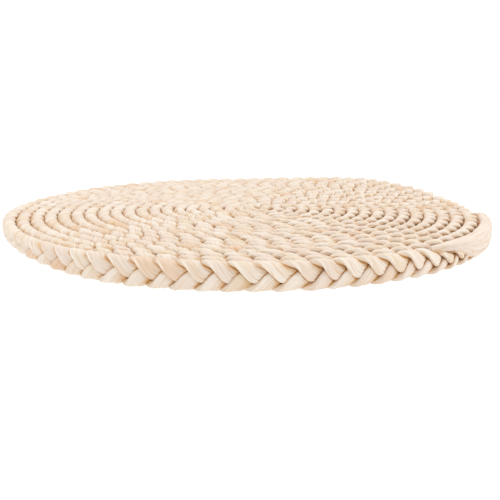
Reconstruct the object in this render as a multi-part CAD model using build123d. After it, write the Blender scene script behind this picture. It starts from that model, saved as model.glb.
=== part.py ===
from build123d import *
import os

# Round chair seat pad, coiled from one three-strand plait of maize husk.
# The plait stands on edge and winds outwards, anticlockwise seen from above.
# Each full turn of the plait is a node of its own, and one lacing twine runs in
# the seam between neighbouring turns, at mid height, from knot to knot.
# Millimetres, +Z up, origin under the middle of the pad.

# Driving dimensions
PAD_DIAMETER = 400.0
PLAIT_HEIGHT = 19.0
TURN_COUNT = 18
FIRST_TURN_RADIUS = 10.7
SEAM_GAP = 0.3
EDGE_RADIUS = 4.5
TWINE_DIAMETER = 1.6
TWINE_CLEARANCE = 0.3
TWINE_KNOT_DIAMETER = 3.2
START_FOLD_EDGE_RADIUS = 2.6
TAIL_START_DEG = 318.0
TAIL_END_DEG = 355.0
TWINE_END_DEG = 350.0

# The coil is drawn as half turns about two centres, one for y > 0 and one for
# y < 0. Each half turn is half a pitch wider than the last one.
PITCH = (PAD_DIAMETER - 2 * FIRST_TURN_RADIUS) / (2 * TURN_COUNT)
CENTRE_OFFSET = PITCH / 4
PLAIT_WIDTH = PITCH - SEAM_GAP
MID_HEIGHT = PLAIT_HEIGHT / 2
CHANNEL_RADIUS = TWINE_DIAMETER / 2 + TWINE_CLEARANCE
KNOT_POCKET_RADIUS = TWINE_KNOT_DIAMETER / 2 + TWINE_CLEARANCE
HALF_TURN_DEG = 180.0


def back_radius(turn):
    """Centreline radius of the turn's first half, on the +Y side."""
    return FIRST_TURN_RADIUS + (turn - 1) * PITCH


def front_radius(turn):
    """Centreline radius of the turn's second half, on the -Y side."""
    return back_radius(turn) + 2 * CENTRE_OFFSET


def back_arc(face, sweep_deg=HALF_TURN_DEG):
    """Turn a face, drawn at its radius in XZ, round the centre of the +Y half."""
    return Pos(-CENTRE_OFFSET, 0, 0) * revolve(face, Axis.Z, sweep_deg)


def front_arc(face, sweep_deg=HALF_TURN_DEG):
    """Turn a face, drawn at its radius in XZ, round the centre of the -Y half."""
    arc = revolve(face, Axis.Z, sweep_deg)
    return Pos(CENTRE_OFFSET, 0, 0) * Rot(0, 0, HALF_TURN_DEG) * arc


def point_on_front(radius, angle_deg):
    """Place on an arc of the -Y half, at mid height."""
    direction = Vector(1, 0, 0).rotate(Axis.Z, angle_deg)
    return Vector(CENTRE_OFFSET, 0, MID_HEIGHT) + direction * radius


def plait_section(radius, seam_inside, seam_outside):
    """Upright section of the plait, with a half-round channel at each laced seam."""
    outline = RectangleRounded(PLAIT_WIDTH, PLAIT_HEIGHT, EDGE_RADIUS)
    channel = Circle(CHANNEL_RADIUS)
    if seam_inside:
        outline -= Pos(-PITCH / 2, 0) * channel
    if seam_outside:
        outline -= Pos(PITCH / 2, 0) * channel
    return Plane.XZ * Pos(radius, MID_HEIGHT) * outline


def braid_turn(turn):
    """One full turn of the plait. The last one stops where the tail begins."""
    seams = {"seam_inside": turn > 1, "seam_outside": turn < TURN_COUNT}
    front_sweep = HALF_TURN_DEG
    if turn == TURN_COUNT:
        front_sweep = TAIL_START_DEG - HALF_TURN_DEG
    back = back_arc(plait_section(back_radius(turn), **seams))
    front = front_arc(plait_section(front_radius(turn), **seams), front_sweep)
    return back + front


def braid_tail():
    """Unplaited ends laid along the rim, closed by a round end."""
    radius = front_radius(TURN_COUNT)
    section = plait_section(radius, seam_inside=True, seam_outside=False)
    sweep = TAIL_END_DEG - TAIL_START_DEG
    body = Rot(0, 0, TAIL_START_DEG) * revolve(section, Axis.Z, sweep)
    half = RectangleRounded(PLAIT_WIDTH, PLAIT_HEIGHT, EDGE_RADIUS)
    half &= Pos(PLAIT_WIDTH / 2, 0) * Rectangle(PLAIT_WIDTH, PLAIT_HEIGHT)
    cap = revolve(Plane.XZ * Pos(0, MID_HEIGHT) * half, Axis.Z, HALF_TURN_DEG)
    end = Rot(0, 0, TAIL_END_DEG) * Pos(radius, 0, 0) * cap
    return Pos(CENTRE_OFFSET, 0, 0) * (body + end)


def fold_half_section(radius):
    """Half section of the folded start, from its axis out to the given radius."""
    body = Rectangle(radius, PLAIT_HEIGHT)
    corners = body.vertices().group_by(Axis.X)[-1]
    body = fillet(corners, START_FOLD_EDGE_RADIUS)
    return Plane.XZ * Pos(radius / 2, MID_HEIGHT) * body


def braid_start_fold():
    """The doubled-over start of the plait, filling the eye of the coil."""
    inside = PLAIT_WIDTH / 2 + SEAM_GAP
    back = back_arc(fold_half_section(back_radius(1) - inside))
    front = front_arc(fold_half_section(front_radius(1) - inside))
    return back + front


def lacing_route(turn):
    """Radii of the twine's two half turns, outside the given turn."""
    return back_radius(turn) + PITCH / 2, front_radius(turn) + PITCH / 2


def twine_section(radius):
    """Round section of the lacing twine."""
    return Plane.XZ * Pos(radius, MID_HEIGHT) * Circle(TWINE_DIAMETER / 2)


def twine_ends():
    """Centres of the knots at the start and at the end of the twine."""
    first_radius = lacing_route(1)[0]
    last_radius = lacing_route(TURN_COUNT - 1)[1]
    start = Vector(first_radius - CENTRE_OFFSET, 0, MID_HEIGHT)
    return start, point_on_front(last_radius, TWINE_END_DEG)


def lacing_twine():
    """The whole sewing twine, along every seam, with a knot tied in each end."""
    arcs = []
    for turn in range(1, TURN_COUNT):
        back, front = lacing_route(turn)
        sweep = HALF_TURN_DEG
        if turn == TURN_COUNT - 1:
            sweep = TWINE_END_DEG - HALF_TURN_DEG
        arcs.append(back_arc(twine_section(back)))
        arcs.append(front_arc(twine_section(front), sweep))
    knots = [Pos(place) * Sphere(TWINE_KNOT_DIAMETER / 2) for place in twine_ends()]
    return arcs[0].fuse(*arcs[1:], *knots)


def with_knot_pocket(solid, place):
    """Cut the small pocket that a knot of the twine sits in."""
    return solid - Pos(place) * Sphere(KNOT_POCKET_RADIUS)


def build():
    """Every node of the pad by name, with the origin under the pad's middle."""
    nodes = {"braid_start_fold": braid_start_fold()}
    for turn in range(1, TURN_COUNT + 1):
        nodes[f"braid_turn_{turn:02d}"] = braid_turn(turn)
    nodes["braid_tail"] = braid_tail()
    start_knot, end_knot = twine_ends()
    for name in ("braid_start_fold", "braid_turn_01", "braid_turn_02"):
        nodes[name] = with_knot_pocket(nodes[name], start_knot)
    for name in ("braid_turn_17", "braid_tail"):
        nodes[name] = with_knot_pocket(nodes[name], end_knot)
    nodes["lacing_twine"] = lacing_twine()
    middle = Compound(children=[Part(node.wrapped) for node in nodes.values()]).bounding_box().center()
    to_origin = Pos(-middle.X, -middle.Y, 0)
    return {name: to_origin * node for name, node in nodes.items()}


def main():
    """Write one STEP file for each node."""
    os.makedirs("parts", exist_ok=True)
    for name, node in build().items():
        export_step(node, f"parts/{name}.step")


main()
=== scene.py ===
"""The looks of a round chair seat pad, coiled from one three-strand plait of maize husk.

One geometry-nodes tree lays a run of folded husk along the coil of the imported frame. It makes
the plait's strands, the folded start, the tail and the lacing twine from their own sizes. A
second tree marks the seams between them.
Sizes are millimetres in the classes and inside the tree, and metres in the finished meshes.
"""

import logging
import math
from dataclasses import dataclass, fields, replace
from enum import Enum
from typing import Any

import bpy
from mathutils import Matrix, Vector

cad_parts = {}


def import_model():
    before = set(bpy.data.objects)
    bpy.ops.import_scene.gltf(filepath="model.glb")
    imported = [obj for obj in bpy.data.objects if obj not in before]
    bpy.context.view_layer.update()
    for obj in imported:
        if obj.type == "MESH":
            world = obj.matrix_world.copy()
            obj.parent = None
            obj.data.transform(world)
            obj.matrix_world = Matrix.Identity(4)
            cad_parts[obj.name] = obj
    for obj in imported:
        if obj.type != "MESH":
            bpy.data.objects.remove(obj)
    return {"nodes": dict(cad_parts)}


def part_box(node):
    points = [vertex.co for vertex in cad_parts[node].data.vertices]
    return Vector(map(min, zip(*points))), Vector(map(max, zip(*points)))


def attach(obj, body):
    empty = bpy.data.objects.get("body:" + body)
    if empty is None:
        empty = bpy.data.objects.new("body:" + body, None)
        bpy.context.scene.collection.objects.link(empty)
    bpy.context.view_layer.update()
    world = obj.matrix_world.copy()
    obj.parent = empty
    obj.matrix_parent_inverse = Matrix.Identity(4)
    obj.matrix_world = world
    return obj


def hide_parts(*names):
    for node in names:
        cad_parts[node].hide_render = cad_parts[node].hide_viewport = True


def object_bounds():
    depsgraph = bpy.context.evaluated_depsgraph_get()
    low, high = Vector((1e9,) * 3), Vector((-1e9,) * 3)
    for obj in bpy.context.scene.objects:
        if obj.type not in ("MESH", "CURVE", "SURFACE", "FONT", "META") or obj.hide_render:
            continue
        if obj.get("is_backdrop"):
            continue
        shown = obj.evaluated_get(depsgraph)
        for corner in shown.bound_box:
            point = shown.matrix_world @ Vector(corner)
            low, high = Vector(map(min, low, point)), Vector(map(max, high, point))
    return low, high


log = logging.getLogger("seat_pad")

MM = 0.001
TURN_COUNT = 18
YARN_DIAMETER = 1.6
Linear = tuple[float, float, float]


def linear(code: str) -> Linear:
    """Turns an sRGB hex colour into linear light.

    Args:
        code: The colour as "#RRGGBB".

    Returns:
        Red, green and blue.
    """
    shares = [int(code[at:at + 2], 16) / 255 for at in (1, 3, 5)]
    return tuple(s / 12.92 if s <= 0.04045 else ((s + 0.055) / 1.055) ** 2.4 for s in shares)


def add_node(tree: bpy.types.NodeTree, kind: str, settings: dict[str, Any] | None = None,
             inputs: dict[str | int, Any] | None = None) -> bpy.types.Node:
    """Adds one node to a tree, with its settings and links.

    Args:
        tree: The shader or geometry tree.
        kind: The node's type.
        settings: Properties of the node by name.
        inputs: Values, sockets or fields by input name or number.

    Returns:
        The new node.
    """
    node = tree.nodes.new(kind)
    for name, value in (settings or {}).items():
        setattr(node, name, value)
    for key, value in (inputs or {}).items():
        value = value.socket if isinstance(value, Field) else value
        if isinstance(value, bpy.types.NodeSocket):
            tree.links.new(value, node.inputs[key])
        else:
            node.inputs[key].default_value = value
    return node


class Field:
    """A number that varies over a mesh or a surface, with arithmetic built as nodes."""

    def __init__(self, tree: bpy.types.NodeTree, socket: bpy.types.NodeSocket) -> None:
        """Takes the tree and the output socket that gives the number."""
        self.tree = tree
        self.socket = socket

    def math(self, operation: str, *others: Any) -> "Field":
        """Combines this number with others by one of the math node's operations."""
        values = dict(enumerate((self, *others)))
        node = add_node(self.tree, "ShaderNodeMath", {"operation": operation}, values)
        return Field(self.tree, node.outputs[0])

    def __add__(self, other: Any) -> "Field":
        """Sum."""
        return self.math("ADD", other)

    __radd__ = __add__

    def __mul__(self, other: Any) -> "Field":
        """Product."""
        return self.math("MULTIPLY", other)

    __rmul__ = __mul__

    def __sub__(self, other: Any) -> "Field":
        """Difference."""
        return self.math("SUBTRACT", other)

    def __rsub__(self, other: Any) -> "Field":
        """Difference from a plain number."""
        return self * -1.0 + other

    def __truediv__(self, other: Any) -> "Field":
        """Quotient."""
        return self.math("DIVIDE", other)

    def __pow__(self, other: Any) -> "Field":
        """Power."""
        return self.math("POWER", other)

    def ease(self, start: Any, end: Any) -> "Field":
        """Rises smoothly from 0 at start to 1 at end."""
        node = add_node(self.tree, "ShaderNodeMapRange", {"interpolation_type": "SMOOTHSTEP"},
                        {"Value": self, "From Min": start, "From Max": end})
        return Field(self.tree, node.outputs["Result"])


class Arrow(Field):
    """A vector or colour that varies over a mesh or a surface."""

    def math(self, operation: str, *others: Any) -> "Arrow":
        """Combines this vector with others by one of the vector math node's operations."""
        values = dict(enumerate((self, *others)))
        node = add_node(self.tree, "ShaderNodeVectorMath", {"operation": operation}, values)
        return Arrow(self.tree, node.outputs["Vector"])

    def __mul__(self, other: Any) -> "Arrow":
        """Scaled by a number."""
        values = {0: self, "Scale": other}
        node = add_node(self.tree, "ShaderNodeVectorMath", {"operation": "SCALE"}, values)
        return Arrow(self.tree, node.outputs["Vector"])

    def dot(self, other: Any) -> Field:
        """Dot product."""
        values = {0: self, 1: other}
        node = add_node(self.tree, "ShaderNodeVectorMath", {"operation": "DOT_PRODUCT"}, values)
        return Field(self.tree, node.outputs["Value"])

    def parts(self) -> list[Field]:
        """The three components."""
        node = add_node(self.tree, "ShaderNodeSeparateXYZ", None, {0: self})
        return [Field(self.tree, socket) for socket in node.outputs]

    def towards(self, colour: Linear, share: Any) -> "Arrow":
        """Mixes a share of another colour into this one."""
        return self + (self * -1.0 + colour) * share


def arrow(tree: bpy.types.NodeTree, x: Any, y: Any, z: Any) -> Arrow:
    """Makes a vector from three numbers or fields."""
    node = add_node(tree, "ShaderNodeCombineXYZ", None, {0: x, 1: y, 2: z})
    return Arrow(tree, node.outputs[0])


@dataclass(frozen=True)
class Coil:
    """The spiral that the plait follows: half turns about two centres, each half a pitch wider."""

    pitch: float
    eye_radius: float
    centre_x: float
    centre_y: float
    height: float
    tail_start: float
    tail_end: float

    @classmethod
    def from_frame(cls) -> "Coil":
        """Reads the spiral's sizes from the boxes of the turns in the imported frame."""
        seam_gap = 0.3
        inner, outer = 2, 10
        high_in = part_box(f"braid_turn_{inner:02d}")[1] / MM
        low, high = (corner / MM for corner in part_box(f"braid_turn_{outer:02d}"))
        pitch = (high.y - high_in.y) / (outer - inner)
        half_width = (pitch - seam_gap) / 2
        centre_y = (high.y + low.y) / 2 + pitch / 4
        centre_x = low.x + pitch / 4 + high.y - centre_y
        # The upper half of turn n is n - 1/2 pitches wider than the eye.
        eye_radius = high_in.y - centre_y - half_width - (inner - 0.5) * pitch
        tail_low, tail_high = (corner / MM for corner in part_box("braid_tail"))
        rim_radius = eye_radius + TURN_COUNT * pitch
        start = math.asin((centre_y - tail_low.y) / (rim_radius + half_width))
        end = math.asin((centre_y + half_width - tail_high.y) / rim_radius)
        wound = wound_length(pitch, eye_radius, 2 * TURN_COUNT)
        return cls(pitch, eye_radius, centre_x, centre_y, high.z,
                   wound + (math.pi - start) * rim_radius,
                   wound + (math.pi - end) * rim_radius + half_width)

    @property
    def mid_height(self) -> float:
        """Height of the plait's middle over the pad's underside."""
        return self.height / 2

    def run_at(self, half_turns: int) -> float:
        """Length of plait wound when that many half turns are done."""
        return wound_length(self.pitch, self.eye_radius, half_turns)


def wound_length(pitch: float, eye_radius: float, half_turns: int) -> float:
    """Length of the first half turns of a coil, added up."""
    return math.pi * half_turns * (eye_radius + pitch * (half_turns - 1) / 4)


@dataclass(frozen=True)
class Run:
    """One run of husk or twine along the coil. Its fields are the tree's inputs.

    Attributes:
        start: Length along the coil where it begins.
        length: Its own length along the coil.
        rings: Steps along it.
        ring_points: Points round it.
        phase: Its place in its weave at the coil's start, in radians.
        repeat: Length of one repeat of the weave.
        weave_height: How far it rises and dips.
        weave_peak: How much its crests are sharpened.
        weave_depth: How far it moves in and out.
        upper_out: How far its upper half leans out, on the rim.
        roll: How far its crests lean along the coil, on the rim.
        depth_cycles: Moves in and out for each repeat.
        reach: Distance outwards from the coil's line.
        start_rise: How much higher its beginning lies.
        width: Full width.
        thickness: Full thickness.
        corner_power: How square its section is.
        corner_softness: How soon its section rounds off.
        lap: How far its free edge stands off the strand below.
        squeeze: 1 in the plait, 0 where it lies straight.
        start_scale: Share of its full size where it begins.
        start_wait: Share of its length before it starts to widen.
        start_share: Share of its length by which it is at full size.
        start_blunt: Share of start_share by which it is at full thickness.
        end_scale: Share of its full size where it ends.
        end_share: Share of its length over which it narrows.
        end_reach: How much further out its end lies.
        end_press: How far its end is pressed down, from 0 to 1.
        flat_top: Greatest height over the plait's middle.
        flat_rim: Greatest reach, on the rim.
        pleat_depth: Depth of the fine pleats.
        fold_step: Height of a fold's edge.
        unevenness: How far it wanders up, down, in and out.
        seed: Picks its pattern.
        rim: 1 on the rim, 0 inside the coil.
    """

    start: float
    length: float
    rings: int
    ring_points: int
    phase: float = 0.0
    repeat: float = 47.0
    weave_height: float = 5.6
    weave_peak: float = 0.85
    weave_depth: float = 2.1
    upper_out: float = 0.5
    roll: float = 0.7
    depth_cycles: float = 2.0
    reach: float = 0.0
    start_rise: float = 0.0
    width: float = 9.6
    thickness: float = 5.2
    corner_power: float = 4.0
    corner_softness: float = 0.62
    lap: float = 0.8
    squeeze: float = 1.0
    start_scale: float = 1.0
    start_wait: float = 0.0
    start_share: float = 0.22
    start_blunt: float = 1.0
    end_scale: float = 1.0
    end_share: float = 0.4
    end_reach: float = 0.0
    end_press: float = 0.0
    flat_top: float = 9.3
    flat_rim: float = 5.5
    pleat_depth: float = 0.25
    fold_step: float = 0.4
    unevenness: float = 0.55
    seed: float = 0.0
    rim: float = 0.0


@dataclass(frozen=True)
class Lie:
    """How the pad lies out of flat: a slow wave in its top, a curled left edge, a bowed back right."""

    wave_height: float = 0.4
    wave_length: float = 75.0
    curl_height: float = 7.0
    curl_span: tuple[float, float] = (80.0, 205.0)
    bow_height: float = 8.0
    bow_right: tuple[float, float] = (-20.0, 170.0)
    bow_back: tuple[float, float] = (0.0, 170.0)


@dataclass(frozen=True)
class HuskHabit:
    """How husk gives, folds and wanders wherever it is laid.

    Attributes:
        shared_drift: How far all strands wander together, in radians.
        own_drift: How far each strand wanders by itself.
        push_share: Wandering in and out, as a share of that up and down.
        crossing_width: Share of its width lost at a crossing and gained at a crest.
        crossing_thickness: The same for its thickness.
        rim_spread: Share by which it is wider on the rim.
        width_swell: Share by which its width varies.
        thickness_swell: The same for its thickness.
        tucked_limit: How much softer the tucked edge's corner is, at most.
        pleat_width: Width of a pleat.
        pleat_length: Length of a pleat.
        folds_across: Folds over half the strand's width.
        fold_sway: How far the folds sway sideways, in folds.
        fold_sway_length: Length of one sway.
        relief_fade: How near the edges the relief fades out.
        end_reach_from: Share of the length after which the end turns outwards.
        pressed_by: Share of the narrowing left when the end is fully pressed down.
        top_rounding: How softly the crests are cut off at the top.
        rim_rounding: How softly they are cut off at the rim.
        crevice_under_top: Depths under the faces where a crevice begins and is full.
        crevice_under_rim: Depths in from the rim where a crevice begins and is full.
        pattern_apart: Distance between two strands' surface patterns.
        leaf_change: How far after a crossing a new leaf begins, in half repeats.
        leaf_apart: Difference between two strands' series of leaves.
    """

    shared_drift: float = 0.7
    own_drift: float = 0.22
    push_share: float = 0.9
    crossing_width: float = 0.05
    crossing_thickness: float = 0.1
    rim_spread: float = 0.16
    width_swell: float = 0.12
    thickness_swell: float = 0.05
    tucked_limit: float = -0.4
    pleat_width: float = 1.7
    pleat_length: float = 30.0
    folds_across: float = 2.1
    fold_sway: float = 0.9
    fold_sway_length: float = 42.0
    relief_fade: float = 6.0
    end_reach_from: float = 0.3
    pressed_by: float = 0.6
    top_rounding: float = 1.0
    rim_rounding: float = 1.5
    crevice_under_top: tuple[float, float] = (1.2, 5.0)
    crevice_under_rim: tuple[float, float] = (0.7, 4.0)
    pattern_apart: float = 731.0
    leaf_change: float = 0.083
    leaf_apart: float = 37.7


class Swing(Enum):
    """A strand's slow wanderings: the length of one swing, and the row and pattern it is read from."""

    SHARED_DRIFT = (90.0, 0.0, 5.0)
    OWN_DRIFT = (21.0, 0.0, 9.0)
    LIFT = (13.0, 3.0, 1.0)
    PUSH = (17.0, 7.0, 2.0)
    SWELL = (26.0, 11.0, 4.0)


class HuskLoom:
    """Lays runs of husk along the coil with one geometry-nodes tree."""

    # Patterns for the wanderings that are not read along one strand.
    PLEAT_PATTERN = 6.0
    SWAY_PATTERN = 8.0
    WAVE_PATTERN = 12.0
    # Far enough out that the rim's limits do not touch the inner turns.
    OUT_OF_THE_WAY = 100.0

    def __init__(self, coil: Coil) -> None:
        """Builds the tree for a coil.

        Args:
            coil: The spiral that every run follows.
        """
        self.coil = coil
        self.lie = Lie()
        self.habit = HuskHabit()
        self.tree = bpy.data.node_groups.new("husk_run", "GeometryNodeTree")
        self.given: dict[str, Field] = {}
        self._add_inputs()
        self._lay()

    def _add_inputs(self) -> None:
        """Gives the tree one named input for each size of a run, and its material."""
        for size in fields(Run):
            kind = "NodeSocketInt" if size.type is int else "NodeSocketFloat"
            self.tree.interface.new_socket(size.name, in_out="INPUT", socket_type=kind)
        self.tree.interface.new_socket("material", in_out="INPUT", socket_type="NodeSocketMaterial")
        self.tree.interface.new_socket("Geometry", in_out="OUTPUT", socket_type="NodeSocketGeometry")
        group = add_node(self.tree, "NodeGroupInput")
        for size in fields(Run):
            self.given[size.name] = Field(self.tree, group.outputs[size.name])
        self.material = group.outputs["material"]

    def _wander(self, place: Arrow, pattern: Any) -> Field:
        """A smooth random number from about -1 to 1.

        Args:
            place: Where to read it, one unit for one swing.
            pattern: Picks the pattern.

        Returns:
            The number over the mesh.
        """
        node = add_node(self.tree, "ShaderNodeTexNoise", {"noise_dimensions": "4D"},
                        {"Vector": place, "W": pattern, "Scale": 1.0, "Detail": 1.0})
        return (Field(self.tree, node.outputs[0]) - 0.5) * 3.0

    def _swing(self, kind: Swing, run: Field, seed: Any) -> Field:
        """Reads one of a strand's slow wanderings along the coil."""
        length, row, pattern = kind.value
        return self._wander(arrow(self.tree, run * (1 / length), seed, row), pattern)

    def _lay(self) -> None:
        """Builds the tree: a tube of rings, moved onto the coil, with its surface attributes."""
        tree, given, habit = self.tree, self.given, self.habit
        tube = add_node(tree, "GeometryNodeMeshCylinder", {"fill_type": "NGON"}, {
            "Vertices": given["ring_points"], "Side Segments": given["rings"],
            "Radius": 1.0, "Depth": 1.0})
        x, y, z = Arrow(tree, add_node(tree, "GeometryNodeInputPosition").outputs[0]).parts()
        around = y.math("ARCTAN2", x)
        across = 1.0 - around.math("ABSOLUTE") * (2.0 / math.pi)
        side = around.math("SIGN")
        along = z + 0.5
        run = given["start"] + along * given["length"]
        path = self._path(run)
        place, crevice, free = self._surface(run, along, across, side, path)
        moved = add_node(tree, "GeometryNodeSetPosition", None, {"Position": place})
        surface = arrow(tree, across * given["width"] * 0.5, side,
                        run + given["seed"] * habit.pattern_apart)
        half_repeats = path["turned"] * (1.0 / math.pi) - habit.leaf_change
        leaf = add_node(tree, "ShaderNodeTexWhiteNoise", {"noise_dimensions": "1D"}, {
            "W": half_repeats.math("FLOOR") + given["seed"] * habit.leaf_apart})
        # The attributes are read at the tube's own vertices, before it is moved.
        stored = {"husk_place": ("FLOAT_VECTOR", surface), "crevice": ("FLOAT", crevice),
                  "free_edge": ("FLOAT", free), "leaf": ("FLOAT", leaf.outputs["Value"])}
        geometry = tube.outputs["Mesh"]
        for name, (kind, value) in stored.items():
            settings = {"data_type": kind, "domain": "POINT"}
            node = add_node(tree, "GeometryNodeStoreNamedAttribute", settings,
                            {"Geometry": geometry, "Name": name, "Value": value})
            geometry = node.outputs[0]
        tree.links.new(geometry, moved.inputs["Geometry"])
        smooth = add_node(tree, "GeometryNodeSetShadeSmooth", None, {"Geometry": moved.outputs[0]})
        real = add_node(tree, "GeometryNodeRealizeInstances", None, {"Geometry": smooth.outputs[0]})
        dressed = add_node(tree, "GeometryNodeSetMaterial", None,
                           {"Geometry": real.outputs[0], "Material": self.material})
        add_node(tree, "NodeGroupOutput", None, {"Geometry": dressed.outputs[0]})

    def _path(self, run: Field) -> dict[str, Field]:
        """Follows the middle of the strand through the plait.

        Args:
            run: Length along the coil.

        Returns:
            The strand's turn angle, its reach from the coil's line, its height, its direction
            and the way that its flat side faces, as run, reach and height components.
        """
        tree, given, habit = self.tree, self.given, self.habit
        rate = given["repeat"] ** -1.0 * (2.0 * math.pi)
        drift = self._swing(Swing.SHARED_DRIFT, run, 0.0) * habit.shared_drift
        own = self._swing(Swing.OWN_DRIFT, run, given["seed"]) * habit.own_drift
        turned = run * rate + given["phase"] + (drift + own) * given["squeeze"]
        deep = turned * given["depth_cycles"]
        tripled = turned * 3.0
        lift = self._swing(Swing.LIFT, run, given["seed"]) * given["unevenness"]
        push = self._swing(Swing.PUSH, run, given["seed"]) * given["unevenness"] * habit.push_share
        rise = turned.math("SINE") * given["weave_height"]
        height = (rise - tripled.math("SINE") * given["weave_peak"]
                  + deep.math("SINE") * given["roll"] * given["rim"] + lift)
        reach = (given["reach"] - deep.math("SINE") * given["weave_depth"]
                 + turned.math("SINE") * given["upper_out"] * given["rim"] + push)
        slope = (turned.math("COSINE") * given["weave_height"]
                 - tripled.math("COSINE") * given["weave_peak"] * 3.0) * rate
        lean = deep.math("COSINE") * given["weave_depth"] * given["depth_cycles"] * rate * -1.0
        ahead = arrow(tree, 1.0, lean, slope).math("NORMALIZE")
        facing = (turned.math("COSINE") + 1.0) * (math.pi / 2)
        flat = arrow(tree, 0.0, facing.math("COSINE"), facing.math("SINE"))
        flat = (flat - ahead * flat.dot(ahead)).math("NORMALIZE")
        return {"turned": turned, "reach": reach, "height": height, "ahead": ahead, "flat": flat}

    def _taper(self, along: Field) -> tuple[Field, Field, Field, Field]:
        """Narrows the run at its two ends.

        Args:
            along: Share of the run's length, from 0 to 1.

        Returns:
            How far the beginning has passed, from 0 to 1, the share of its size that the end
            keeps, and the shares of the full width and thickness.
        """
        given = self.given
        begun = along.ease(given["start_wait"], given["start_share"])
        ending = 1.0 - along.ease(1.0 - given["end_share"], 1.0) * (1.0 - given["end_scale"])
        width = (begun * (1.0 - given["start_scale"]) + given["start_scale"]) * ending
        thick_begun = along.ease(0.0, given["start_share"] * given["start_blunt"])
        thickness = (thick_begun * (1.0 - given["start_scale"]) + given["start_scale"]) * ending
        return begun, ending, width, thickness

    def _relief(self, run: Field, across: Field, side: Field, edge: Field) -> Field:
        """Pleats and folds along the leaf.

        Args:
            run: Length along the coil.
            across: Place across the strand, from -1 to 1.
            side: 1 on the outer face of the strand, -1 on the inner one.
            edge: 0 in mid face, 1 at its edges.

        Returns:
            How far the surface stands out.
        """
        tree, given, habit = self.tree, self.given, self.habit
        pleat_place = arrow(tree, across * given["width"] * (0.5 / habit.pleat_width),
                            side * 3.0 + given["seed"] * 7.0, run * (1 / habit.pleat_length))
        pleats = self._wander(pleat_place, self.PLEAT_PATTERN)
        sway_place = arrow(tree, run * (1 / habit.fold_sway_length), side, given["seed"])
        sway = self._wander(sway_place, self.SWAY_PATTERN)
        folds = (across * habit.folds_across + sway * habit.fold_sway).math("FRACT") - 0.5
        relief = pleats * given["pleat_depth"] + folds * given["fold_step"]
        return relief * (1.0 - edge ** habit.relief_fade)

    def _surface(self, run: Field, along: Field, across: Field, side: Field,
                 path: dict[str, Field]) -> tuple[Arrow, Field, Field]:
        """Places the strand's surface round its middle line, and the line on the coil.

        Args:
            run: Length along the coil.
            along: Share of the run's length, from 0 to 1.
            across: Place across the strand, from -1 to 1.
            side: 1 on the outer face of the strand, -1 on the inner one.
            path: What _path gives.

        Returns:
            The point in the pad's frame in metres, how deep it lies in a crevice, and how near
            it is to the edge that laps over the next strand, from 1 to -1 at the tucked edge.
        """
        given, habit = self.given, self.habit
        begun, ending, width_share, thickness_share = self._taper(along)
        doubled = (path["turned"] * 2.0).math("COSINE")
        swell = self._swing(Swing.SWELL, run, given["seed"])
        half_width = given["width"] * 0.5 * width_share * (
            1.0 + given["squeeze"] * doubled * -habit.crossing_width
            + given["rim"] * given["squeeze"] * habit.rim_spread + swell * habit.width_swell)
        half_thickness = given["thickness"] * 0.5 * thickness_share * (
            1.0 - given["squeeze"] * doubled * habit.crossing_thickness
            + swell * habit.thickness_swell)
        edge = across.math("ABSOLUTE")
        free = across * path["turned"].math("SINE") * -1.0
        sharper = free.math("MAXIMUM", habit.tucked_limit) * given["lap"]
        corner = given["corner_power"] * (1.0 + sharper)
        body = (1.0 - edge ** corner).math("MAXIMUM", 0.0) ** given["corner_softness"]
        relief = self._relief(run, across, side, edge) * width_share
        out = (half_thickness * body + relief) * side + free * given["lap"]
        sideways = path["ahead"].math("CROSS_PRODUCT", path["flat"])
        off_run, off_reach, off_height = (sideways * (half_width * across) + path["flat"] * out).parts()
        hug = given["thickness"] * 0.5 * (1.0 - ending) * (1.0 - given["squeeze"])
        turned_out = along.ease(habit.end_reach_from, 1.0) * given["end_reach"]
        reach = path["reach"] + off_reach - hug + turned_out
        height = path["height"] + off_height + (1.0 - begun) * given["start_rise"]
        fully_pressed = 1.0 - given["end_share"] * habit.pressed_by
        pressed = along.ease(1.0 - given["end_share"], fully_pressed) * given["end_press"]
        height = height * (1.0 - pressed) - pressed * self.coil.mid_height
        off_rim = (1.0 - given["rim"]) * self.OUT_OF_THE_WAY
        height = height.math("SMOOTH_MIN", given["flat_top"], habit.top_rounding)
        reach = reach.math("SMOOTH_MIN", given["flat_rim"] + off_rim, habit.rim_rounding)
        near_face = self.coil.mid_height - height.math("ABSOLUTE")
        near_rim = self.coil.pitch / 2 - reach + off_rim
        crevice = near_face.ease(*habit.crevice_under_top)
        crevice = crevice.math("MINIMUM", near_rim.ease(*habit.crevice_under_rim))
        return self._on_coil(run + off_run, reach, height), crevice, free

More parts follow.
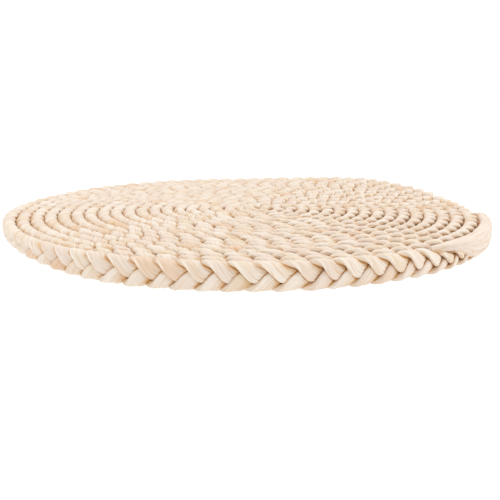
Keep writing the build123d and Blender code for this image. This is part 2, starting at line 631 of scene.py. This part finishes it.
    def _on_coil(self, run: Field, reach: Field, height: Field) -> Arrow:
        """Bends a straight place onto the coil, and lays the coil out of flat.

        Args:
            run: Length along the coil.
            reach: Distance outwards from the coil's line.
            height: Height above the pad's middle.

        Returns:
            The point in the pad's frame, in metres.
        """
        coil, lie = self.coil, self.lie
        base = coil.eye_radius - coil.pitch / 4
        squared = base * base
        root = ((run * (coil.pitch / math.pi)).math("MAXIMUM", -squared) + squared).math("SQRT")
        half = ((root - base) * (2 / coil.pitch)).math("FLOOR").math("MAXIMUM", 0.0)
        radius = half * (coil.pitch / 2) + coil.eye_radius
        begun = half * math.pi * (half * (coil.pitch / 4) + base)
        angle = (run - begun) / radius + (half + 1.0) * math.pi
        shift = (half * math.pi).math("COSINE") * (coil.pitch / 4)
        x = shift + (radius + reach) * angle.math("COSINE") + coil.centre_x
        y = (radius + reach) * angle.math("SINE") + coil.centre_y
        wave_place = arrow(self.tree, x * (1 / lie.wave_length), y * (1 / lie.wave_length), 0.0)
        wave = self._wander(wave_place, self.WAVE_PATTERN) * lie.wave_height
        upper = height.ease(-coil.mid_height, coil.mid_height)
        curl = (x * -1.0).ease(*lie.curl_span) * (1.0 - upper) * lie.curl_height
        bow = x.ease(*lie.bow_right) * y.ease(*lie.bow_back) * lie.bow_height
        z = height + coil.mid_height + wave * upper + curl + bow
        return arrow(self.tree, x * MM, y * MM, z * MM)

    def lay(self, name: str, run: Run, material: bpy.types.Material) -> bpy.types.Object:
        """Lays one run and turns it into a plain mesh object.

        Args:
            name: The piece's name.
            run: Its sizes.
            material: Its finish.

        Returns:
            The piece, at the origin, with its place in its mesh.
        """
        piece = bpy.data.objects.new(name, bpy.data.meshes.new(name))
        bpy.context.scene.collection.objects.link(piece)
        modifier = piece.modifiers.new("husk_run", "NODES")
        modifier.node_group = self.tree
        for item in self.tree.interface.items_tree:
            if item.in_out == "INPUT" and item.name == "material":
                modifier[item.identifier] = material
            elif item.in_out == "INPUT":
                modifier[item.identifier] = getattr(run, item.name)
        evaluate(piece, modifier)
        return piece


class SeamMarker:
    """Marks how near each piece comes to the pieces beside it, with one geometry-nodes tree."""

    def __init__(self) -> None:
        """Builds the tree: the distance to the neighbours' faces in millimetres, as an attribute."""
        self.tree = bpy.data.node_groups.new("seam_marks", "GeometryNodeTree")
        tree = self.tree
        for name, kind in (("Geometry", "Geometry"), ("neighbours", "Collection")):
            tree.interface.new_socket(name, in_out="INPUT", socket_type=f"NodeSocket{kind}")
        tree.interface.new_socket("Geometry", in_out="OUTPUT", socket_type="NodeSocketGeometry")
        given = add_node(tree, "NodeGroupInput")
        beside = add_node(tree, "GeometryNodeCollectionInfo", None,
                          {"Collection": given.outputs["neighbours"]})
        real = add_node(tree, "GeometryNodeRealizeInstances", None, {"Geometry": beside.outputs[0]})
        near = add_node(tree, "GeometryNodeProximity", {"target_element": "FACES"},
                        {0: real.outputs[0]})
        gap = Field(tree, near.outputs["Distance"]) * (1.0 / MM)
        settings = {"data_type": "FLOAT", "domain": "POINT"}
        marked = add_node(tree, "GeometryNodeStoreNamedAttribute", settings,
                          {"Geometry": given.outputs["Geometry"], "Name": "gap", "Value": gap})
        add_node(tree, "NodeGroupOutput", None, {"Geometry": marked.outputs[0]})

    def mark(self, piece: bpy.types.Object, beside: list[bpy.types.Object]) -> None:
        """Stores a piece's distance to its neighbours on its mesh.

        Args:
            piece: The piece to mark.
            beside: The pieces next to it.
        """
        group = bpy.data.collections.new("neighbours")
        for neighbour in beside:
            group.objects.link(neighbour)
        modifier = piece.modifiers.new("seam_marks", "NODES")
        modifier.node_group = self.tree
        socket = next(item for item in self.tree.interface.items_tree if item.name == "neighbours")
        modifier[socket.identifier] = group
        evaluate(piece, modifier)
        bpy.data.collections.remove(group)


def mark_seams(rounds: list[list[bpy.types.Object]]) -> None:
    """Marks the seams of every piece.

    Args:
        rounds: The pieces of the start, of each turn and of the tail, in order.
    """
    marker = SeamMarker()
    tail = rounds[-1]
    for place, pieces in enumerate(rounds):
        # The tail hides the end of the last turn, so it is marked against the turn before that.
        beside = [rounds[-3]] if pieces is tail else rounds[max(place - 1, 0):place + 2]
        near = [other for group in beside for other in group]
        for piece in pieces:
            marker.mark(piece, [other for other in near if other is not piece])


def evaluate(piece: bpy.types.Object, modifier: bpy.types.Modifier) -> None:
    """Gives a piece the plain mesh that its modifier makes, and removes the modifier."""
    depsgraph = bpy.context.evaluated_depsgraph_get()
    mesh = bpy.data.meshes.new_from_object(piece.evaluated_get(depsgraph), depsgraph=depsgraph)
    piece.modifiers.remove(modifier)
    old = piece.data
    piece.data = mesh
    bpy.data.meshes.remove(old)
    mesh.name = piece.name


def hand_over(piece: bpy.types.Object, node: str) -> None:
    """Puts a finished piece in the place of its CAD node, and reports it.

    Args:
        piece: The finished piece.
        node: The CAD node that it stands for.
    """
    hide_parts(node)
    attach(piece, "root")
    log.info("%s: %d faces", piece.name, len(piece.data.polygons))


def noise(tree: bpy.types.NodeTree, place: Arrow, detail: float) -> Field:
    """A cloudy number from 0 to 1, one unit of place for one cloud."""
    node = add_node(tree, "ShaderNodeTexNoise", None,
                    {"Vector": place, "Scale": 1.0, "Detail": detail})
    return Field(tree, node.outputs[0])


def new_material(name: str) -> bpy.types.Material:
    """Makes a material with an empty node tree."""
    material = bpy.data.materials.new(name)
    material.use_nodes = True
    material.node_tree.nodes.clear()
    return material


def plain_colour(tree: bpy.types.NodeTree, code: str) -> Arrow:
    """Makes a colour for others to be mixed into."""
    colour = Arrow(tree, add_node(tree, "ShaderNodeRGB").outputs[0])
    colour.socket.default_value = (*linear(code), 1.0)
    return colour


@dataclass(frozen=True)
class DriedHusk:
    """Dried maize husk, flattened and plaited: matt ivory leaf with fine veins along it.

    The leaf is cellulose, like paper: no metal, a soft broad gloss, and a faint silky sheen
    from its fibres. Deep between the strands it is painted gold as shade, and its seams get gold
    and brown lines, part stain and part painted contact shade.
    """

    name: str = "dried_maize_husk"
    ivory: str = "#E3D7C9"
    cream: str = "#DCC9B1"
    pinkish: str = "#DCCABB"
    pale: str = "#F7EEE0"
    tan: str = "#D3A066"
    gold: str = "#CE9C5A"
    brown: str = "#8F5A27"
    roughness: float = 0.6
    vein_roughness: float = 0.12
    ior: float = 1.45
    sheen: float = 0.15
    sheen_roughness: float = 0.5
    vein_spacing: float = 0.8
    vein_length: float = 22.0
    ribs_per_mm: float = 0.6
    rib_length: float = 38.0
    patch_width: float = 14.0
    patch_length: float = 31.0
    stain_width: float = 6.0
    stain_length: float = 24.0
    relief_depth: float = 0.5
    relief_strength: float = 0.9
    rib_relief: float = 0.6
    seam_from: float = 0.15
    seam_to: float = 1.3

    def material(self) -> bpy.types.Material:
        """Builds the material from the runs' own attributes."""
        material = new_material(self.name)
        tree = material.node_tree
        place = add_node(tree, "ShaderNodeAttribute", {"attribute_name": "husk_place"})
        across, side, run = Arrow(tree, place.outputs["Vector"]).parts()
        veins = noise(tree, arrow(tree, across * (1 / self.vein_spacing), side,
                                  run * (1 / self.vein_length)), 3.0)
        ribs = noise(tree, arrow(tree, across * self.ribs_per_mm, side + 5.0,
                                 run * (1 / self.rib_length)), 1.0)
        patch = noise(tree, arrow(tree, across * (1 / self.patch_width), side + 9.0,
                                  run * (1 / self.patch_length)), 2.0)
        stain = noise(tree, arrow(tree, across * (1 / self.stain_width), side + 2.0,
                                  run * (1 / self.stain_length)), 1.0)
        colour = self._colour(tree, veins, ribs, patch, stain)
        bump = add_node(tree, "ShaderNodeBump", None, {
            "Strength": self.relief_strength, "Distance": self.relief_depth * MM,
            "Height": veins + ribs * self.rib_relief})
        rough = veins * self.vein_roughness + (self.roughness - self.vein_roughness / 2)
        shader = add_node(tree, "ShaderNodeBsdfPrincipled", None, {
            "Base Color": colour, "Roughness": rough, "IOR": self.ior, "Normal": bump.outputs[0],
            "Sheen Weight": self.sheen, "Sheen Roughness": self.sheen_roughness})
        add_node(tree, "ShaderNodeOutputMaterial", None, {"Surface": shader.outputs[0]})
        return material

    def _colour(self, tree: bpy.types.NodeTree, veins: Field, ribs: Field, patch: Field,
                stain: Field) -> Arrow:
        """Lays the leaf's colours over each other.

        Args:
            tree: The material's tree.
            veins: Fine lines along the leaf.
            ribs: Coarser lines along the leaf.
            patch: Broad cream patches.
            stain: Narrow streaks.

        Returns:
            The finished colour.
        """
        leaf, crevice, free, gap = (
            Field(tree, add_node(tree, "ShaderNodeAttribute", {"attribute_name": name}).outputs["Fac"])
            for name in ("leaf", "crevice", "free_edge", "gap"))
        seam_stain_and_shade = 1.0 - gap.ease(self.seam_from, self.seam_to)
        seam_stain_and_shade = seam_stain_and_shade * stain.ease(0.32, 0.6) * (crevice.ease(0.0, 0.5) * 0.6 + 0.4)
        painted_edge_highlight = free.ease(0.88, 0.97)
        bleached_veins = (0.46 - veins).ease(0.0, 0.1) * 0.3
        # Each share is a ramp's start and end in its pattern, then its strongest mix.
        layers = (
            (self.cream, patch.ease(0.42, 0.62)),
            (self.pinkish, leaf.ease(0.35, 0.9) * 0.7),
            # About one leaf in fifteen is tan all over.
            (self.tan, (leaf * 7.3).math("FRACT").ease(0.9, 0.98) * 0.38),
            (self.tan, ribs.ease(0.58, 0.74) * 0.22),
            (self.gold, veins.ease(0.54, 0.68) * 0.48),
            # The lapping edge is lightened as a painted highlight; the pale veins are the leaf's own
            # tone.
            (self.pale, (painted_edge_highlight + bleached_veins) * 0.5),
            # Deep between the strands, and in streaks just under the crests, the husk is painted gold
            # as shade.
            (self.gold, crevice.ease(0.1, 0.65) * (stain.ease(0.3, 0.65) * 0.45 + 0.25)),
            (self.gold, (1.0 - stain).ease(0.56, 0.68) * crevice.ease(0.0, 0.1) * 0.5),
            # A thin gold line follows each seam between two strands, brown where they meet: part stain,
            # part painted contact shade, stronger deeper in the crevice.
            (self.gold, seam_stain_and_shade.ease(0.05, 0.5) * 0.8),
            (self.brown, seam_stain_and_shade.ease(0.35, 0.9) * 0.4),
        )
        colour = plain_colour(tree, self.ivory)
        for shade, share in layers:
            colour = colour.towards(linear(shade), share)
        return colour


@dataclass(frozen=True)
class SewingYarn:
    """Natural cotton sewing yarn, two plies twisted together: matt, unbleached, slightly hairy."""

    name: str = "unbleached_cotton_yarn"
    cotton: str = "#E6D8BF"
    shade: str = "#B3986D"
    roughness: float = 0.85
    ior: float = 1.53
    sheen: float = 0.3
    sheen_roughness: float = 0.5
    twist_length: float = 2.4
    groove_shade: float = 0.8
    groove_depth: float = 0.25
    groove_strength: float = 0.8
    fuzz_per_mm: float = 5.0
    fuzz_along_per_mm: float = 3.0
    fuzz_share: float = 0.3

    def material(self) -> bpy.types.Material:
        """Builds the material, with the plies' grooves running round the yarn, darkened as painted
        shade.
        """
        material = new_material(self.name)
        tree = material.node_tree
        place = add_node(tree, "ShaderNodeAttribute", {"attribute_name": "husk_place"})
        across, side, run = Arrow(tree, place.outputs["Vector"]).parts()
        around = (1.0 - across * (1 / YARN_DIAMETER) * 2.0) * side * 0.5
        twisted = (run * (2.0 / self.twist_length) + around) * math.pi
        groove = twisted.math("COSINE") * 0.5 + 0.5
        fuzz = noise(tree, arrow(tree, across * self.fuzz_per_mm, side,
                                 run * self.fuzz_along_per_mm), 2.0)
        colour = plain_colour(tree, self.cotton)
        # The grooves between the plies are darkened as painted shade; the fuzz is the yarn's own tone.
        colour = colour.towards(linear(self.shade), groove.ease(0.55, 1.0) * self.groove_shade)
        colour = colour.towards(linear(self.shade), fuzz.ease(0.55, 0.75) * self.fuzz_share)
        bump = add_node(tree, "ShaderNodeBump", None, {
            "Strength": self.groove_strength, "Distance": self.groove_depth * MM,
            "Height": fuzz * self.fuzz_share - groove})
        shader = add_node(tree, "ShaderNodeBsdfPrincipled", None, {
            "Base Color": colour, "Roughness": self.roughness, "IOR": self.ior,
            "Normal": bump.outputs[0], "Sheen Weight": self.sheen,
            "Sheen Roughness": self.sheen_roughness})
        add_node(tree, "ShaderNodeOutputMaterial", None, {"Surface": shader.outputs[0]})
        return material


@dataclass(frozen=True)
class PaperSweep:
    """Matt paper studio floor: no gloss, and a faint glow that hides shadows and the far edge."""

    name: str = "matt_white_paper_sweep"
    paper: str = "#A0A0A0"
    glow: str = "#FFFFFF"
    roughness: float = 0.9
    glow_strength: float = 0.82

    def material(self) -> bpy.types.Material:
        """Builds the material."""
        material = bpy.data.materials.new(self.name)
        material.use_nodes = True
        shader = material.node_tree.nodes["Principled BSDF"]
        shader.inputs["Base Color"].default_value = (*linear(self.paper), 1.0)
        shader.inputs["Roughness"].default_value = self.roughness
        shader.inputs["Emission Color"].default_value = (*linear(self.glow), 1.0)
        shader.inputs["Emission Strength"].default_value = self.glow_strength
        return material


class StrandName(Enum):
    """The plait's three strands, each a third of a repeat behind the last."""

    A = 0
    B = 1
    C = 2

    @property
    def phase(self) -> float:
        """How far the strand is round its own path where the plait begins."""
        return self.value * 2 * math.pi / 3


@dataclass
class Plait:
    """The three strands of every turn, from the folded start to where the tail begins."""

    loom: HuskLoom
    husk: bpy.types.Material
    inner_step: float = 1.7
    rim_step: float = 1.05
    inner_ring: int = 24
    rim_ring: int = 44
    fold_back: float = 5.0
    fold_scale: float = 0.4
    under_tail: float = 32.0
    under_wrap: float = 84.0
    wrapped_scale: float = 0.72
    wrapped_press: float = 0.27

    def _strand(self, name: str, node: str, strand: StrandName, start: float, end: float,
                at_rim: bool, start_scale: float = 1.0) -> bpy.types.Object:
        """Lays one strand over one node's stretch of the coil.

        Args:
            name: What the piece's name starts with.
            node: The CAD node that the strand is part of.
            strand: Which of the three strands it is.
            start: Length along the coil where it begins.
            end: Length along the coil where it ends.
            at_rim: Whether it is in the outermost turn.
            start_scale: Share of its full size where it begins.

        Returns:
            The strand's piece.
        """
        step = self.rim_step if at_rim else self.inner_step
        run = Run(start=start, length=end - start, rings=round((end - start) / step),
                  ring_points=self.rim_ring if at_rim else self.inner_ring, phase=strand.phase,
                  start_scale=start_scale, seed=float(strand.value), rim=float(at_rim))
        if at_rim:
            run = replace(run, end_share=self.under_wrap / run.length,
                          end_scale=self.wrapped_scale, end_press=self.wrapped_press)
        piece = self.loom.lay(f"{name}_strand_{strand.name.lower()}", run, self.husk)
        hand_over(piece, node)
        return piece

    def build(self) -> list[list[bpy.types.Object]]:
        """Builds the folded start and all the turns.

        Returns:
            The strands of the start and of each turn, in order.
        """
        coil = self.loom.coil
        rounds = [[self._strand("start_fold", "braid_start_fold", strand, -self.fold_back,
                                coil.run_at(1), False, self.fold_scale)
                   for strand in StrandName]]
        for turn in range(1, TURN_COUNT + 1):
            last = turn == TURN_COUNT
            end = coil.tail_start + self.under_tail if last else coil.run_at(2 * turn + 1)
            rounds.append([
                self._strand(f"turn_{turn:02d}", f"braid_turn_{turn:02d}", strand,
                             coil.run_at(2 * turn - 1), end, last)
                for strand in StrandName])
        return rounds


@dataclass
class Tail:
    """The smooth unplaited end of the plait along the rim, and its pointed husk tip."""

    loom: HuskLoom
    husk: bpy.types.Material
    wrap_depth: float = 10.6
    edge_room: float = 0.6
    lead_in: float = 37.0
    past_end: float = 24.0
    tip_length: float = 22.0
    tip_set_back: float = 4.0

    def _lay_on_node(self, name: str, run: Run) -> bpy.types.Object:
        """Lays one piece of the tail on its node."""
        piece = self.loom.lay(name, run, self.husk)
        hand_over(piece, "braid_tail")
        return piece

    def build(self) -> list[bpy.types.Object]:
        """Builds the wrapped tail, which leaves the plait along its upper edge, and its tip."""
        coil = self.loom.coil
        start = coil.tail_start - self.lead_in
        straight = Run(
            start=start, length=coil.tail_end + self.past_end - start, rings=190, ring_points=64,
            phase=math.pi, repeat=1e7, weave_height=0.0, weave_peak=0.0, weave_depth=0.0,
            upper_out=0.0, roll=0.0, squeeze=0.0, lap=0.0, unevenness=0.0, seed=5.0, rim=1.0)
        wrap = self._lay_on_node("tail_husk_wrap", replace(
            straight, width=coil.height - self.edge_room, thickness=self.wrap_depth,
            corner_power=3.2, corner_softness=0.5, start_rise=6.4, start_scale=0.3,
            start_wait=0.08, start_share=0.34, start_blunt=0.4, reach=0.6, flat_rim=6.2,
            end_scale=0.25, end_share=0.24, pleat_depth=1.1, fold_step=0.9, unevenness=0.5))
        tip = self._lay_on_node("tail_husk_tip", replace(
            straight, start=coil.tail_end - self.tip_length - self.tip_set_back,
            length=self.tip_length, rings=40, ring_points=20, width=9.0, thickness=3.0,
            reach=2.8, end_reach=6.2, start_scale=0.3, end_scale=0.3, end_share=0.6,
            pleat_depth=0.1, fold_step=0.1, flat_rim=12.0, seed=6.0))
        return [wrap, tip]


@dataclass
class LacingTwine:
    """The sewing twine, dipping into the turn on each side of its seam in turn."""

    loom: HuskLoom
    yarn: bpy.types.Material
    stitch_length: float = 26.0
    stitch_depth: float = 3.4
    knot_room: float = 15.0
    rings: int = 4200
    ring_points: int = 8

    def build(self) -> None:
        """Builds the twine along every seam."""
        coil = self.loom.coil
        start = coil.run_at(1)
        end = coil.run_at(2 * TURN_COUNT - 1) - self.knot_room
        run = Run(
            start=start, length=end - start, rings=self.rings, ring_points=self.ring_points,
            repeat=self.stitch_length, weave_height=0.0, weave_peak=0.0,
            weave_depth=self.stitch_depth, depth_cycles=1.0, reach=coil.pitch / 2,
            width=YARN_DIAMETER, thickness=YARN_DIAMETER, corner_power=2.0, corner_softness=0.5,
            squeeze=0.0, lap=0.0, pleat_depth=0.0, fold_step=0.0, unevenness=0.0, seed=9.0)
        piece = self.loom.lay("sewing_twine", run, self.yarn)
        hand_over(piece, "lacing_twine")


@dataclass
class Studio:
    """The plain pale floor, the soft light and the camera. Its sizes are metres."""

    target: Vector
    distance: float = 0.60
    elevation_deg: float = 10.45
    lens_mm: float = 50.0
    aim_below: float = 0.0288
    aim_right: float = 0.0025
    key_from: tuple[float, float, float] = (-0.8, 0.1, 1.5)
    key_watts: float = 7.5
    fill_from: tuple[float, float, float] = (1.3, 0.0, 0.9)
    fill_watts: float = 6.5
    light_size: float = 1.2
    floor_size: float = 12.0

    def _light(self, name: str, offset: Linear, watts: float) -> None:
        """Adds one soft square light that looks at the pad."""
        light = bpy.data.lights.new(name, "AREA")
        light.size = self.light_size
        light.energy = watts
        lamp = bpy.data.objects.new(name, light)
        place = self.target + Vector(offset)
        lamp.location = place
        lamp.rotation_euler = (self.target - place).to_track_quat("-Z", "Y").to_euler()
        bpy.context.scene.collection.objects.link(lamp)

    def _floor(self) -> None:
        """Adds a wide floor under the pad."""
        bpy.ops.mesh.primitive_plane_add(size=self.floor_size)
        floor = bpy.context.object
        floor.name = "studio_floor"
        floor.data.materials.append(PaperSweep().material())
        floor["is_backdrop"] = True

    def _surround(self) -> None:
        """Lights the pad evenly from all round."""
        world = bpy.data.worlds.new("white_tent")
        world.use_nodes = True
        background = world.node_tree.nodes["Background"]
        background.inputs["Color"].default_value = (1.0, 1.0, 1.0, 1.0)
        background.inputs["Strength"].default_value = 1.0
        bpy.context.scene.world = world

    def _camera(self) -> None:
        """Places the camera low in front of the pad."""
        lens = bpy.data.cameras.new("view")
        lens.lens = self.lens_mm
        camera = bpy.data.objects.new("view", lens)
        angle = math.radians(self.elevation_deg)
        back = Vector((0, -math.cos(angle), math.sin(angle)))
        camera.location = self.target + back * self.distance
        aim = self.target + Vector((self.aim_right, 0, -self.aim_below))
        camera.rotation_euler = (aim - camera.location).to_track_quat("-Z", "Y").to_euler()
        bpy.context.scene.collection.objects.link(camera)
        bpy.context.scene.camera = camera

    def build(self) -> None:
        """Builds the surround, the floor, the lights and the camera."""
        bpy.context.scene.view_settings.view_transform = "Standard"
        self._surround()
        self._floor()
        self._light("key", self.key_from, self.key_watts)
        self._light("fill", self.fill_from, self.fill_watts)
        self._camera()


def corners(bounds: Any) -> list[list[float]]:
    """Writes a box's two corners as plain lists."""
    return [[float(value) for value in corner] for corner in bounds]


def main() -> None:
    """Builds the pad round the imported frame, then the studio."""
    logging.basicConfig(level=logging.INFO, format="%(name)s %(message)s")
    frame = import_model()
    cad_box = corners(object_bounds())
    log.info("frame: %d nodes", len(frame["nodes"]))
    loom = HuskLoom(Coil.from_frame())
    husk = DriedHusk().material()
    rounds = Plait(loom, husk).build()
    rounds.append(Tail(loom, husk).build())
    mark_seams(rounds)
    LacingTwine(loom, SewingYarn().material()).build()
    low, high = (Vector(corner) for corner in cad_box)
    Studio((low + high) / 2).build()


if __name__ == "__main__":
    main()
